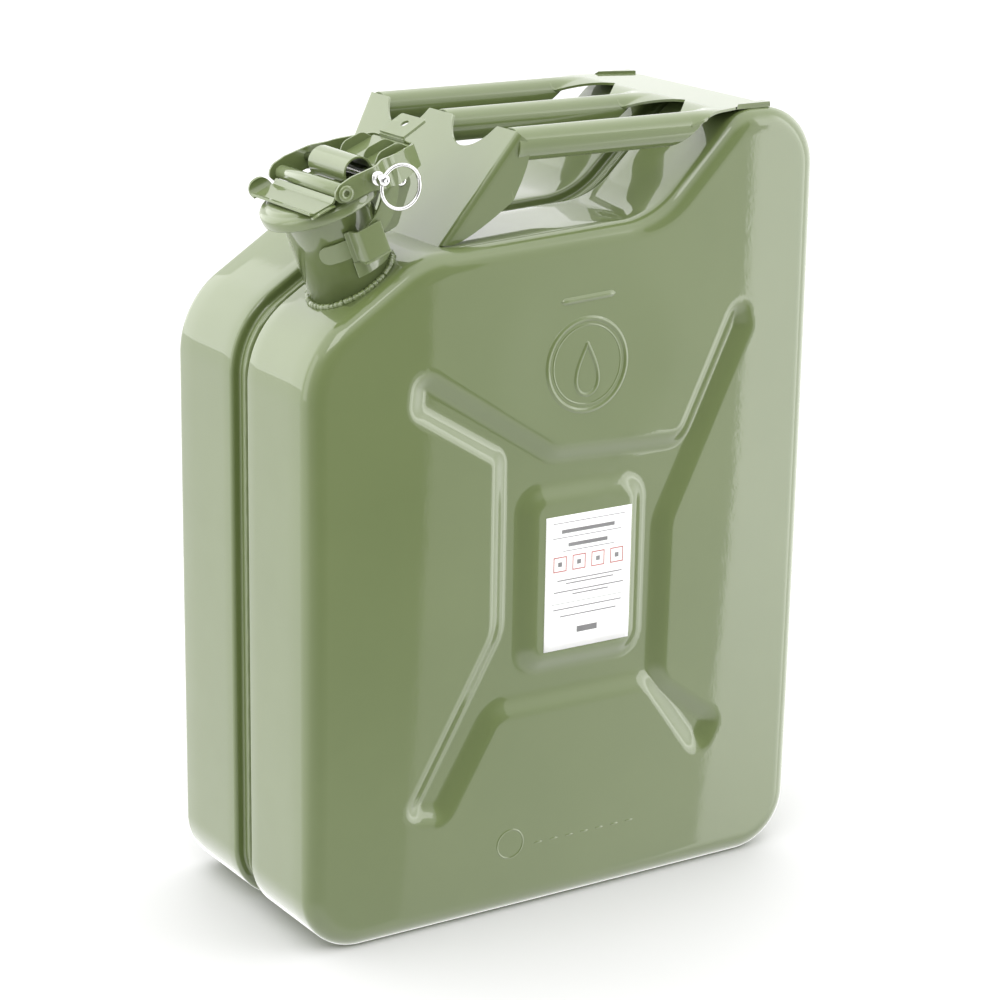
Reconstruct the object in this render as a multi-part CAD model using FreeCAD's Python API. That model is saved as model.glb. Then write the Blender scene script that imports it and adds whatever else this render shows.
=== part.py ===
"""Twenty litre steel jerry can, standing on its bottom, drawn in millimetres.

X runs from the filler end (-X) to the rear hump (+X), Y across the two pressed
halves and Z upwards.  The origin is the middle of the footprint on the ground.
"""
import FreeCAD, Part
import math
import os

from FreeCAD import Placement, Rotation, Vector

# ---- body -----------------------------------------------------------------
LENGTH = 345.0          # along X
DEPTH = 165.0           # along Y, over both halves
HUMP_TOP = 468.0        # top of the rear hump
WALL = 1.0
BOTTOM_RADIUS = 36.0
FACE_RADIUS = 12.0      # rounding between each large face and the rim

SHOULDER_FOOT_Z = 356.0     # where the front wall would meet the sloping shoulder
SHOULDER_RADIUS = 55.0
VALLEY_FRONT = (-98.0, 404.0)   # where the shoulder would meet the valley
VALLEY_REAR = (58.0, 412.0)     # where the valley would meet the hump
HUMP_FRONT_X = 116.0

GROOVE_HALF = 9.0       # half width of the groove that holds the seam
GROOVE_DEEP = 6.0
SEAM_RISE = 2.4
SEAM_HALF = 1.3

# ---- relief pressed into each large face -----------------------------------
RELIEF_DEEP = 5.0
# Four arms round a raised pad, as (x, z, radius) corners, from the upper front arm's end onwards.
RELIEF_OUTLINE = ((-101.0, 338.0, 6.0), (-12.0, 280.0, 20.0), (79.0, 277.0, 14.0),
                  (118.0, 356.0, 3.0), (122.0, 340.0, 3.0), (67.0, 229.0, 30.0),
                  (66.0, 128.0, 20.0), (110.0, 96.0, 6.0), (100.0, 76.0, 6.0),
                  (60.0, 130.0, 14.0), (-50.0, 130.0, 14.0), (-84.0, 72.0, 6.0),
                  (-106.0, 76.0, 6.0), (-48.0, 178.0, 30.0), (-48.0, 283.0, 6.0),
                  (-103.0, 317.0, 6.0))
PAD_X, PAD_Z = 10.0, 205.0      # middle of the raised pad
PAD_W, PAD_H, PAD_CORNER = 78.0, 104.0, 12.0

LABEL_W, LABEL_H, LABEL_T = 60.0, 82.0, 0.2
LABEL_X, LABEL_Z = 13.0, 202.0

# ---- handle ----------------------------------------------------------------
BAR_PITCH = 72.0
BAR_R = 9.5
BAR_WALL = 1.2
BAR_TOP = 469.5
BAR_FRONT_X = -39.0
BAR_REAR_X = 84.0
HANDLE_HALF = 81.5      # half width across the outer bars
FOOT_HALF = 66.0        # half width of the front plate where it stands on the can
TAIL_PLATE_HALF = 64.0  # half width of the rear plate at its back edge
SCALLOP_R = 24.0
PLATE_T = 1.5
PLATE_FOOT = (-80.0, 404.9)
PLATE_HEAD = (-40.0, 468.5)
REAR_PLATE_X = (100.0, 141.0)   # the closed part, behind the openings between the bars
FLANGE = 20.0
BEAD = 2.2              # size of the handle's weld beads

# ---- filler neck, in its own tilted frame -----------------------------------
NECK_FOOT = Vector(-123.0, -40.0, 388.0)
NECK_TILT = 22.0        # degrees forward from upright
NECK_R = 25.0
NECK_WALL = 1.5
NECK_TOP = 50.0         # height of the rim above the foot
RIM_R = 29.0
NECK_SUNK = 16.0        # how far the tube reaches into the can

BREATHER_R = 4.0
BREATHER_BEND = 30.0

LID_R = 35.0
SKIRT_LOW = 47.0
LID_EDGE = 54.0
LID_TOP = 55.5
LID_STEP_R = 30.0
LID_T = 1.2

HINGE_U, HINGE_N = 42.0, 42.0
HINGE_R = 2.5
RUNNING = 0.08          # radial clearance of a pin that turns in its hole
PIVOT_U, PIVOT_N = -2.0, 60.4
PIVOT_R = 2.6
BARREL_R = 4.3

ARM_OUT = 37.6          # outer face of the lever's front arms
CLAW_OUT = 31.6         # outer face of the lever's claws
SHEET = 1.6
CLAW_IN_R = 26.0        # claws are rings round the pivot
CLAW_OUT_R = 37.0
TAIL_U = 54.0
TAIL_HALF = 22.0

LOCK_U, LOCK_N = 17.3, 60.4
LOCK_R = 2.5
LOCK_HOLE_R = 3.0
LOCK_NEAR, LOCK_FAR = -50.0, 41.0
RING_R, RING_WIRE = 12.0, 1.3
RING_V = -46.5

os.makedirs("parts", exist_ok=True)


def save(name, shape):
    shape.exportStep("parts/" + name + ".step")


# ---- helpers ----------------------------------------------------------------
def rounded_face(corners, y=0.0):
    """Face in the XZ plane from (x, z, radius) corners, each rounded by an arc."""
    count = len(corners)
    ends = []
    for i in range(count):
        x, z, radius = corners[i]
        here = Vector(x, y, z)
        before = Vector(corners[i - 1][0], y, corners[i - 1][1]) - here
        after = Vector(corners[(i + 1) % count][0], y, corners[(i + 1) % count][1]) - here
        before.normalize()
        after.normalize()
        half = before.getAngle(after) / 2.0
        if radius <= 0.0:
            ends.append((here, here, here))
            continue
        reach = radius / math.tan(half)
        middle = before + after
        middle.normalize()
        centre = here + middle * (radius / math.sin(half))
        ends.append((here + before * reach, centre - middle * radius, here + after * reach))
    edges = []
    for i in range(count):
        start, middle, stop = ends[i]
        if (stop - start).Length > 1e-6:
            edges.append(Part.Arc(start, middle, stop).toShape())
        edges.append(Part.makeLine(stop, ends[(i + 1) % count][0]))
    return Part.Face(Part.Wire(edges))


def slab(corners, y_from, y_to):
    """Rounded XZ outline pushed from one Y to another."""
    return rounded_face(corners, y_from).extrude(Vector(0, y_to - y_from, 0))


def rod(start, stop, radius):
    axis = stop - start
    return Part.makeCylinder(radius, axis.Length, start, axis)


def tube(start, stop, radius, bore):
    return rod(start, stop, radius).cut(rod(start, stop, bore))


def block(x, y, z):
    """Box from three (low, high) pairs."""
    size = [high - low for low, high in (x, y, z)]
    return Part.makeBox(size[0], size[1], size[2], Vector(x[0], y[0], z[0]))


def join(shapes):
    whole = shapes[0].fuse(shapes[1:])
    return whole.removeSplitter()


def mirror_y(shape):
    return shape.mirror(Vector(0, 0, 0), Vector(0, 1, 0))


def body_corners(inset):
    """Outline of the can, moved inwards by inset.  A minus radius marks the hollow corner."""
    half = LENGTH / 2.0
    outline = [(-half, 0.0, BOTTOM_RADIUS), (-half, SHOULDER_FOOT_Z, SHOULDER_RADIUS),
               (VALLEY_FRONT[0], VALLEY_FRONT[1], 55.0), (VALLEY_REAR[0], VALLEY_REAR[1], -52.0),
               (HUMP_FRONT_X, HUMP_TOP, 30.0), (half, HUMP_TOP, BOTTOM_RADIUS),
               (half, 0.0, BOTTOM_RADIUS)]
    lines = []
    for i, (x, z, _radius) in enumerate(outline):
        following = outline[(i + 1) % len(outline)]
        run = Vector(following[0] - x, 0, following[1] - z)
        run.normalize()
        inward = Vector(run.z, 0, -run.x)
        lines.append((Vector(x, 0, z) + inward * inset, run))
    moved = []
    for i, (_x, _z, radius) in enumerate(outline):
        point_a, run_a = lines[i - 1]
        point_b, run_b = lines[i]
        gap = point_b - point_a
        across = run_a.x * run_b.z - run_a.z * run_b.x
        along = (gap.x * run_b.z - gap.z * run_b.x) / across
        corner = point_a + run_a * along
        new_radius = inset - radius if radius < 0 else radius - inset
        moved.append((corner.x, corner.z, new_radius))
    return moved


# ---- body shells --------------------------------------------------------------
def relief_tool(face_y, deep, spread):
    """Arms round a pad, as the block that is pressed into the face at face_y (near side)."""
    low_y = face_y - 5.0
    push = Vector(0, deep + 5.0, 0)
    half_w, half_h = PAD_W / 2.0, PAD_H / 2.0
    pad_corners = [(PAD_X - half_w, PAD_Z - half_h, PAD_CORNER),
                   (PAD_X - half_w, PAD_Z + half_h, PAD_CORNER),
                   (PAD_X + half_w, PAD_Z + half_h, PAD_CORNER),
                   (PAD_X + half_w, PAD_Z - half_h, PAD_CORNER)]
    arms = rounded_face(RELIEF_OUTLINE, low_y)
    pad = rounded_face(pad_corners, low_y)
    if spread > 0.0:
        arms = arms.makeOffset2D(spread)
        pad = pad.makeOffset2D(-spread)
    return arms.extrude(push).cut(pad.extrude(push))


def rounded_on_face(solid, face_y, radius):
    """Round the edges that lie in the plane y = face_y."""
    edges = [edge for edge in solid.Edges
             if all(abs(vertex.Point.y - face_y) < 1e-3 for vertex in edge.Vertexes)]
    return solid.makeFillet(radius, edges)


def near_half():
    """One pressed half, on the -Y side, before the neck hole is cut."""
    face_y = -DEPTH / 2.0
    outer = slab(body_corners(0.0), face_y, -GROOVE_HALF)
    outer = rounded_on_face(outer, face_y, FACE_RADIUS)
    step = slab(body_corners(GROOVE_DEEP), -GROOVE_HALF, 0.0)
    outside = outer.fuse(step)
    outside = outside.cut(relief_tool(face_y, RELIEF_DEEP, 0.0))
    inner = slab(body_corners(WALL), face_y + WALL, -GROOVE_HALF - WALL)
    inner = rounded_on_face(inner, face_y + WALL, FACE_RADIUS - WALL)
    inner_step = slab(body_corners(GROOVE_DEEP + WALL), -GROOVE_HALF - WALL, 0.0)
    inside = inner.fuse(inner_step)
    inside = inside.cut(relief_tool(face_y, RELIEF_DEEP + WALL, WALL))
    return outside.cut(inside)


def seam_weld():
    outer = slab(body_corners(GROOVE_DEEP - SEAM_RISE), -SEAM_HALF, SEAM_HALF)
    return outer.cut(slab(body_corners(GROOVE_DEEP), -SEAM_HALF - 1, SEAM_HALF + 1))


def label():
    face_y = -DEPTH / 2.0
    return block((LABEL_X - LABEL_W / 2, LABEL_X + LABEL_W / 2), (face_y - LABEL_T, face_y),
                 (LABEL_Z - LABEL_H / 2, LABEL_Z + LABEL_H / 2))


# ---- neck frame ---------------------------------------------------------------
NECK_PLACE = Placement(NECK_FOOT, Rotation(Vector(0, 1, 0), -NECK_TILT))
BREATHER_POINTS = (NECK_PLACE.multVec(Vector(16.0, 0, -9.0)), Vector(52.0, NECK_FOOT.y, 384.0),
                   Vector(124.0, NECK_FOOT.y, 446.0))


def at_neck(shape):
    """Move a shape from the neck's frame (u rearward, v, n along the neck) to the can."""
    moved = shape.copy()
    moved.Placement = NECK_PLACE.multiply(moved.Placement)
    return moved


def cylinder_n(radius, low, high):
    return rod(Vector(0, 0, low), Vector(0, 0, high), radius)


def neck():
    body = cylinder_n(NECK_R, -NECK_SUNK, NECK_TOP)
    rim = cylinder_n(RIM_R, NECK_TOP - 2.4, NECK_TOP)
    cone = Part.makeCone(NECK_R, RIM_R, 2.0, Vector(0, 0, NECK_TOP - 4.4))
    bore = cylinder_n(NECK_R - NECK_WALL, -NECK_SUNK - 1, NECK_TOP + 1)
    air_hole = rod(BREATHER_POINTS[0], BREATHER_POINTS[1], BREATHER_R - 0.8)
    return at_neck(join([body, cone, rim]).cut(bore)).cut(air_hole)


def neck_hole():
    return at_neck(cylinder_n(NECK_R, -NECK_SUNK - 5, 30.0))


def neck_weld_bead():
    """Rough fillet of weld where the neck meets the shoulder."""
    sleeve = cylinder_n(NECK_R + 3.0, -20.0, 20.0).cut(cylinder_n(NECK_R, -21.0, 21.0))
    skin = slab(body_corners(-2.4), -DEPTH / 2, 0.0).cut(slab(body_corners(0.0), -DEPTH, 1.0))
    return at_neck(sleeve).common(skin)


def neck_bracket():
    """Band round the neck with a guide bridge on each side that the claws pass behind."""
    low, top = 9.0, 36.0
    guide_in = CLAW_OUT + 0.9
    guide_out = guide_in + 1.5
    pieces = [cylinder_n(NECK_R + 1.3, low, 17.0).cut(cylinder_n(NECK_R, low - 1, 18.0))]
    for side in (-1, 1):
        shelf = block((-8.0, 10.0), (0, guide_out), (17.0 - 1.5, 17.0))
        shelf = shelf.cut(cylinder_n(NECK_R, 0, 30.0))
        upright = block((-8.0, 10.0), (guide_in, guide_out), (17.0 - 1.5, top))
        guide = join([shelf, upright])
        pieces.append(guide if side > 0 else mirror_y(guide))
    return at_neck(join(pieces))


def hinge_bracket():
    """Pair of ears on the back of the neck that carry the lid's hinge pin."""
    back = cylinder_n(NECK_R + 1.3, 17.2, 35.0).common(block((0, 40), (-17.0, 17.0), (0, 60)))
    pieces = [back]
    for v_from, v_to in ((-14.8, -13.0), (13.0, 14.8)):
        ear = slab([(15.0, 19.0, 0.0), (31.0, 19.0, 4.0), (49.0, 39.0, 6.0), (44.5, 48.8, 6.0),
                    (35.5, 44.0, 5.0), (29.0, 33.0, 3.0), (15.0, 33.0, 0.0)], v_from, v_to)
        pieces.append(ear)
    ears = join(pieces).cut(cylinder_n(NECK_R, 0.0, 60.0))
    hole = rod(Vector(HINGE_U, -30, HINGE_N), Vector(HINGE_U, 30, HINGE_N), HINGE_R)
    return at_neck(ears.cut(hole))


def hinge_pin():
    shaft = rod(Vector(HINGE_U, -16.6, HINGE_N), Vector(HINGE_U, 16.6, HINGE_N), HINGE_R)
    heads = [rod(Vector(HINGE_U, a, HINGE_N), Vector(HINGE_U, b, HINGE_N), 3.6)
             for a, b in ((-16.6, -14.8), (14.8, 16.6))]
    return at_neck(join([shaft] + heads))


def breather_tube():
    """Air pipe from the neck's wall to the top of the rear hump, inside the can."""
    start, bend, end = BREATHER_POINTS
    back = start - bend
    onward = end - bend
    back.normalize()
    onward.normalize()
    half = back.getAngle(onward) / 2.0
    reach = BREATHER_BEND / math.tan(half)
    middle = back + onward
    middle.normalize()
    centre = bend + middle * (BREATHER_BEND / math.sin(half))
    path = Part.Wire([Part.makeLine(start, bend + back * reach),
                      Part.Arc(bend + back * reach, centre - middle * BREATHER_BEND,
                               bend + onward * reach).toShape(),
                      Part.makeLine(bend + onward * reach, end)])
    pipes = []
    for radius in (BREATHER_R, BREATHER_R - 0.8):
        ring = Part.Wire(Part.Circle(start, bend - start, radius).toShape())
        pipes.append(path.makePipeShell([ring], True, True))
    return pipes[0].cut(pipes[1]).cut(at_neck(cylinder_n(NECK_R, -60.0, 60.0)))


# ---- lid -------------------------------------------------------------------------
def lid_cap():
    skirt = cylinder_n(LID_R, SKIRT_LOW, LID_EDGE)
    skirt = skirt.fuse(cylinder_n(LID_STEP_R, LID_EDGE, LID_TOP))
    hollow = cylinder_n(LID_R - LID_T, SKIRT_LOW - 1, LID_EDGE - LID_T)
    hollow = hollow.fuse(cylinder_n(LID_STEP_R - LID_T, LID_EDGE - LID_T, LID_TOP - LID_T))
    return at_neck(skirt.removeSplitter().cut(hollow.removeSplitter()))


def lid_gasket():
    low, high = NECK_TOP + 0.3, LID_EDGE - LID_T
    return at_neck(cylinder_n(LID_R - LID_T - 1.0, low, high).cut(cylinder_n(20.0, low - 1, high + 1)))


def lid_strap():
    """Stiffening strap on the lid: thumb plate, pivot barrel and hinge knuckle."""
    strap_low = LID_TOP
    strap_top = LID_TOP + SHEET
    plate = block((-21.0, PIVOT_U), (-33.0, 33.0), (strap_low + 0.4, strap_top))
    lip = block((-24.0, -20.0), (-33.0, 33.0), (strap_low + 0.4, strap_top + 1.2))
    horn_far = block((-23.0, -9.0), (33.0, 34.2), (strap_low + 0.4, strap_top + 6.0))
    horn_near = block((-19.0, -9.0), (-34.2, -33.0), (strap_low + 0.4, strap_top + 3.5))
    barrel = rod(Vector(PIVOT_U, -33.0, PIVOT_N), Vector(PIVOT_U, 33.0, PIVOT_N), BARREL_R)
    web = block((PIVOT_U - 4.3, PIVOT_U + 4.3), (-33.0, 33.0), (strap_low, PIVOT_N))
    flat = block((PIVOT_U, 31.0), (-12.5, 12.5), (strap_low, strap_top))
    back = slab([(29.0, strap_low, 0.0), (29.0, strap_top, 0.0), (38.5, strap_top, 5.0),
                 (47.0, HINGE_N + 3.0, 0.0), (44.5, HINGE_N, 0.0), (38.0, strap_low - 1.0, 4.0),
                 (37.0, strap_low, 0.0)], -12.5, 12.5)
    knuckle = rod(Vector(HINGE_U, -12.5, HINGE_N), Vector(HINGE_U, 12.5, HINGE_N), 5.0)
    whole = join([plate, lip, horn_far, horn_near, web, barrel, flat, back, knuckle])
    hinge_hole = rod(Vector(HINGE_U, -40, HINGE_N), Vector(HINGE_U, 40, HINGE_N),
                     HINGE_R + RUNNING)
    pivot_hole = rod(Vector(PIVOT_U, -40, PIVOT_N), Vector(PIVOT_U, 40, PIVOT_N), PIVOT_R)
    return at_neck(whole.cut(hinge_hole).cut(pivot_hole))


def pivot_rivet():
    """Long hollow rivet in the barrel, with a rolled head outside each lever arm."""
    shaft = rod(Vector(PIVOT_U, -38.9, PIVOT_N), Vector(PIVOT_U, 38.9, PIVOT_N), PIVOT_R)
    heads = [rod(Vector(PIVOT_U, a, PIVOT_N), Vector(PIVOT_U, b, PIVOT_N), 4.6)
             for a, b in ((-39.2, -ARM_OUT - 0.3), (ARM_OUT + 0.3, 39.2))]
    hollow = [rod(Vector(PIVOT_U, a, PIVOT_N), Vector(PIVOT_U, b, PIVOT_N), 1.6)
              for a, b in ((-40.0, -30.0), (30.0, 40.0))]
    return at_neck(join([shaft] + heads).cut(hollow[0]).cut(hollow[1]))


# ---- locking lever ------------------------------------------------------------------
def lever_plan():
    """Plan of the bent strip that makes the lever, as a band pushed along n."""
    def outline(inset):
        half = [(-14.0, ARM_OUT), (21.5, ARM_OUT), (27.0, CLAW_OUT), (34.0, CLAW_OUT),
                (TAIL_U, TAIL_HALF)]
        points = [Vector(u, v - inset, 0) for u, v in half[:4]]
        points.append(Vector(TAIL_U - inset, TAIL_HALF - inset * 0.8, 0))
        other = [Vector(p.x, -p.y, 0) for p in reversed(points)]
        return Part.Face(Part.makePolygon(points + other + [points[0]]))
    tall = Vector(0, 0, 100.0)
    band = outline(0.0).extrude(tall).cut(outline(SHEET).extrude(tall))
    return band


def locking_lever():
    arms = slab([(-8.2, 64.9, 4.5), (4.5, 66.9, 6.0), (27.0, 65.0, 20.0), (TAIL_U + 1, 60.0, 0.0),
                 (TAIL_U + 1, 47.0, 0.0), (31.0, 47.0, 6.0), (14.0, 54.0, 8.0),
                 (-3.0, 55.0, 4.5), (-7.5, 57.5, 4.5)], -60.0, 60.0)
    bent = lever_plan().common(arms)
    pieces = [bent]
    pivot = Vector(PIVOT_U, 0, PIVOT_N)
    for side in (-1, 1):
        v_out = CLAW_OUT * side
        v_in = (CLAW_OUT - SHEET) * side
        low, high = min(v_out, v_in), max(v_out, v_in)
        ring = tube(Vector(pivot.x, low, pivot.z), Vector(pivot.x, high, pivot.z),
                    CLAW_OUT_R, CLAW_IN_R)
        sector = slab([(pivot.x - 15.0, pivot.z - 60.0, 0.0), (pivot.x - 4.0, pivot.z - 10.0, 0.0),
                       (pivot.x + 25.0, pivot.z - 3.0, 0.0), (pivot.x + 60.0, pivot.z - 3.0, 0.0),
                       (pivot.x + 60.0, pivot.z - 60.0, 0.0)], low - 1, high + 1)
        claw = ring.common(sector)
        behind_lid = block((22.0, 37.0), (low, high), (47.0, 60.0))
        pieces.append(join([claw, behind_lid]))
    tab_rise = slab([(TAIL_U - SHEET, 58.0, 0.0), (TAIL_U, 58.0, 0.0), (TAIL_U, 61.0, 0.0),
                     (TAIL_U + 16.0, 63.4, 0.0), (TAIL_U + 16.0, 65.0, 0.0),
                     (TAIL_U - SHEET, 62.6, 2.0)], -13.0, 13.0)
    pieces.append(tab_rise)
    whole = join(pieces)
    pivot_hole = rod(Vector(PIVOT_U, -60, PIVOT_N), Vector(PIVOT_U, 60, PIVOT_N),
                     PIVOT_R + RUNNING)
    lock_hole = rod(Vector(LOCK_U, -60, LOCK_N), Vector(LOCK_U, 60, LOCK_N), LOCK_HOLE_R)
    seal_hole = rod(Vector(TAIL_U + 9.0, 0, 55.0), Vector(TAIL_U + 9.0, 0, 70.0), 2.5)
    return at_neck(whole.cut(pivot_hole).cut(lock_hole).cut(seal_hole))


def lock_bridge():
    """Strap over the lock pin: an arch in front, a flat that runs back to the lever's tail."""
    outer, inner, half = 7.4, 6.2, 20.0
    arch = tube(Vector(LOCK_U, -half, LOCK_N), Vector(LOCK_U, half, LOCK_N), outer, inner)
    arch = arch.common(block((0, 60), (-60, 60), (LOCK_N - 2.4, 90)))
    flat = block((LOCK_U + inner, TAIL_U - SHEET), (-half, half), (LOCK_N - 2.4, LOCK_N - 1.2))
    humps = []
    for v_from, v_to in ((-half, -half + 1.2), (half - 1.2, half)):
        hump = slab([(30.0, LOCK_N - 2.4, 0.0), (30.0, LOCK_N - 1.0, 0.0), (40.0, LOCK_N + 6.0, 9.0),
                     (50.0, LOCK_N - 1.0, 0.0), (50.0, LOCK_N - 2.4, 0.0)], v_from, v_to)
        humps.append(hump)
    return at_neck(join([arch, flat] + humps))


def lock_pin():
    shaft = rod(Vector(LOCK_U, LOCK_NEAR, LOCK_N), Vector(LOCK_U, LOCK_FAR, LOCK_N), LOCK_R)
    collar = rod(Vector(LOCK_U, -42.0, LOCK_N), Vector(LOCK_U, -39.4, LOCK_N), 3.9)
    along = Vector(math.sqrt(0.5), 0, math.sqrt(0.5))
    middle = Vector(LOCK_U, RING_V, LOCK_N)
    cross = rod(middle - along * 6.0, middle + along * 6.0, RING_WIRE + 0.55)
    return at_neck(join([shaft, collar]).cut(cross))


def pin_ring():
    offset = RING_R * math.sqrt(0.5)
    centre = Vector(LOCK_U + offset, RING_V, LOCK_N - offset)
    return at_neck(Part.makeTorus(RING_R, RING_WIRE, centre, Vector(0, 1, 0)))


# ---- handle -----------------------------------------------------------------------------
def bar_ys():
    return (-BAR_PITCH, 0.0, BAR_PITCH)


def handle_bar(y):
    """Rolled bar, cut off at a slant under the plate that it runs into."""
    axis_z = BAR_TOP - BAR_R
    start = Vector(BAR_FRONT_X, y, axis_z)
    bar = tube(start, Vector(BAR_REAR_X + 12.0, y, axis_z), BAR_R, BAR_R - BAR_WALL)
    slant = slab([(BAR_REAR_X, BAR_TOP + 1, 0.0), (BAR_REAR_X - 16.0, BAR_TOP - 21, 0.0),
                  (BAR_REAR_X + 40.0, BAR_TOP - 21, 0.0), (BAR_REAR_X + 40.0, BAR_TOP + 1, 0.0)],
                 y - 20.0, y + 20.0)
    return bar.cut(slant)


def front_plate():
    """Leaning plate in front of the bars, scalloped between them, with folded sides."""
    lean = Vector(PLATE_HEAD[0] - PLATE_FOOT[0], 0, PLATE_HEAD[1] - PLATE_FOOT[1])
    height = lean.Length
    angle = math.degrees(math.atan2(lean.x, lean.z))
    flare = math.degrees(math.atan2(HANDLE_HALF - FOOT_HALF, height))
    outline = Part.makePolygon([Vector(0, -FOOT_HALF, 0), Vector(0, FOOT_HALF, 0),
                                Vector(0, HANDLE_HALF, height), Vector(0, -HANDLE_HALF, height),
                                Vector(0, -FOOT_HALF, 0)])
    plate = Part.Face(outline).extrude(Vector(PLATE_T, 0, 0))
    for y in (-BAR_PITCH / 2.0, BAR_PITCH / 2.0):
        centre = Vector(-5, y, height + 8.0)
        plate = plate.cut(rod(centre, centre + Vector(15, 0, 0), SCALLOP_R))
    flange = slab([(0.0, 6.0, 0.0), (12.0, 9.0, 3.0), (FLANGE, height * 0.55, 8.0),
                   (FLANGE * 0.6, height - 6.0, 3.0), (0.0, height - 3.0, 0.0)], -PLATE_T, 0.0)
    flange.rotate(Vector(0, 0, 0), Vector(1, 0, 0), -flare)
    flange.translate(Vector(0, FOOT_HALF, 0))
    plate = plate.fuse([flange, mirror_y(flange)]).removeSplitter()
    plate.rotate(Vector(0, 0, 0), Vector(0, 1, 0), angle)
    plate.translate(Vector(PLATE_FOOT[0], 0, PLATE_FOOT[1]))
    for y in bar_ys():
        axis_z = BAR_TOP - BAR_R
        plate = plate.cut(rod(Vector(BAR_FRONT_X, y, axis_z), Vector(40, y, axis_z), BAR_R))
    return plate.cut(slab(body_corners(0.0), -DEPTH, DEPTH))


def rear_plate():
    """Flat plate on the hump, with a finger towards each bar and an opening on each side."""
    low = BAR_TOP - PLATE_T
    neck_x = REAR_PLATE_X[0] + 6.0
    half_gap = BAR_PITCH / 2.0 - BAR_R
    points = [(BAR_REAR_X, -HANDLE_HALF)]
    for y in (-BAR_PITCH / 2.0, BAR_PITCH / 2.0):
        points += [(BAR_REAR_X, y - half_gap), (neck_x, y), (BAR_REAR_X, y + half_gap)]
    points += [(BAR_REAR_X, HANDLE_HALF), (REAR_PLATE_X[1], TAIL_PLATE_HALF),
               (REAR_PLATE_X[1], -TAIL_PLATE_HALF), (BAR_REAR_X, -HANDLE_HALF)]
    outline = Part.makePolygon([Vector(x, y, low) for x, y in points])
    return Part.Face(outline).extrude(Vector(0, 0, PLATE_T))


def handle_welds(y_from, y_to, plates):
    """Beads along the foot of the front plate and the back edge of the rear plate."""
    foot = Vector(PLATE_FOOT[0] + PLATE_T + 2.2, y_from, PLATE_FOOT[1] + 0.6)
    front = rod(foot, foot + Vector(0, y_to - y_from, 0), BEAD)
    back_edge = Vector(REAR_PLATE_X[1] + 0.4, y_from, HUMP_TOP - 0.4)
    back = rod(back_edge, back_edge + Vector(0, y_to - y_from, 0), BEAD * 0.6)
    beads = Part.makeCompound([front, back]).cut(slab(body_corners(0.0), -DEPTH, DEPTH))
    for plate in plates:
        beads = beads.cut(plate)
    return beads


nodes = {}
near = near_half()
nodes["body_shell_left"] = near.cut(neck_hole())
nodes["body_shell_right"] = mirror_y(near)
nodes["seam_weld"] = seam_weld()
nodes["label"] = label()
nodes["neck"] = neck()
nodes["neck_weld_bead"] = neck_weld_bead()
nodes["neck_bracket"] = neck_bracket()
nodes["hinge_bracket"] = hinge_bracket()
nodes["hinge_pin"] = hinge_pin()
nodes["breather_tube"] = breather_tube()
nodes["lid_cap"] = lid_cap()
nodes["lid_gasket"] = lid_gasket()
nodes["lid_strap"] = lid_strap()
nodes["pivot_rivet"] = pivot_rivet()
nodes["locking_lever"] = locking_lever()
nodes["lock_bridge"] = lock_bridge()
nodes["lock_pin"] = lock_pin()
nodes["pin_ring"] = pin_ring()
for bar_name, bar_y in zip(("left", "middle", "right"), bar_ys()):
    nodes["handle_bar_" + bar_name] = handle_bar(bar_y)
nodes["handle_front_plate"] = front_plate()
nodes["handle_rear_plate"] = rear_plate()
handle_plates = (nodes["handle_front_plate"], nodes["handle_rear_plate"])
nodes["handle_welds_left"] = handle_welds(-62.0, -GROOVE_HALF - 1.0, handle_plates)
nodes["handle_welds_right"] = handle_welds(GROOVE_HALF + 1.0, 62.0, handle_plates)

for node_name, node_shape in nodes.items():
    save(node_name, node_shape)
    print(node_name, node_shape.isValid(), len(node_shape.Solids), round(node_shape.Volume, 1))
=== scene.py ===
"""Looks of the twenty litre jerry can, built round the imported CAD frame.

Lengths are in millimetres, in the row frame, and become metres where a mesh is made.
Closure pieces are drawn in the filler neck's own frame: u rearward, v across, n up the neck.
"""

import math

import bmesh
import bpy
import numpy as np
from mathutils import Matrix, Vector


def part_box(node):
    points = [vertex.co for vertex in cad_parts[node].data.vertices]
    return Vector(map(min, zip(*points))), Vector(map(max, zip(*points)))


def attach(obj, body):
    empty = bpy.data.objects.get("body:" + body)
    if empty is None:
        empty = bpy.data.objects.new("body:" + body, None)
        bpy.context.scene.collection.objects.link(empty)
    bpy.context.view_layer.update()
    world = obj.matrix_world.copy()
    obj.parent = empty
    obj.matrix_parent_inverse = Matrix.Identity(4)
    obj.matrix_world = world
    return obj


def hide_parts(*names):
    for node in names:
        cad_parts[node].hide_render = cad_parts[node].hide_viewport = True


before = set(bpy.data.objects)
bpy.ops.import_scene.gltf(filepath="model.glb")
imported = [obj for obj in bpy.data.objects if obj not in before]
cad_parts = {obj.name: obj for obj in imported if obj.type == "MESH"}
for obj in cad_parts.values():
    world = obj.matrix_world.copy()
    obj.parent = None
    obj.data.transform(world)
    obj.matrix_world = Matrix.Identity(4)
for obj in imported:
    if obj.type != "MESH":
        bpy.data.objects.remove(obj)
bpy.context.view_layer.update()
scene = bpy.context.scene

MM = 0.001


def node_mm(node):
    """A CAD node's lowest and highest corners in millimetres."""
    low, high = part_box(node)
    return np.array(low) / MM, np.array(high) / MM


# ---- sizes, from the frame where it has them ----
shell_low, shell_high = node_mm("body_shell_left")
HALF_LENGTH = shell_high[0]
HALF_DEPTH = -shell_low[1]
HUMP_TOP = shell_high[2]
FACE_RADIUS = 12.0
GROOVE_HALF = 9.0
GROOVE_DEEP = 6.0
SKIN = 1.0
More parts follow.
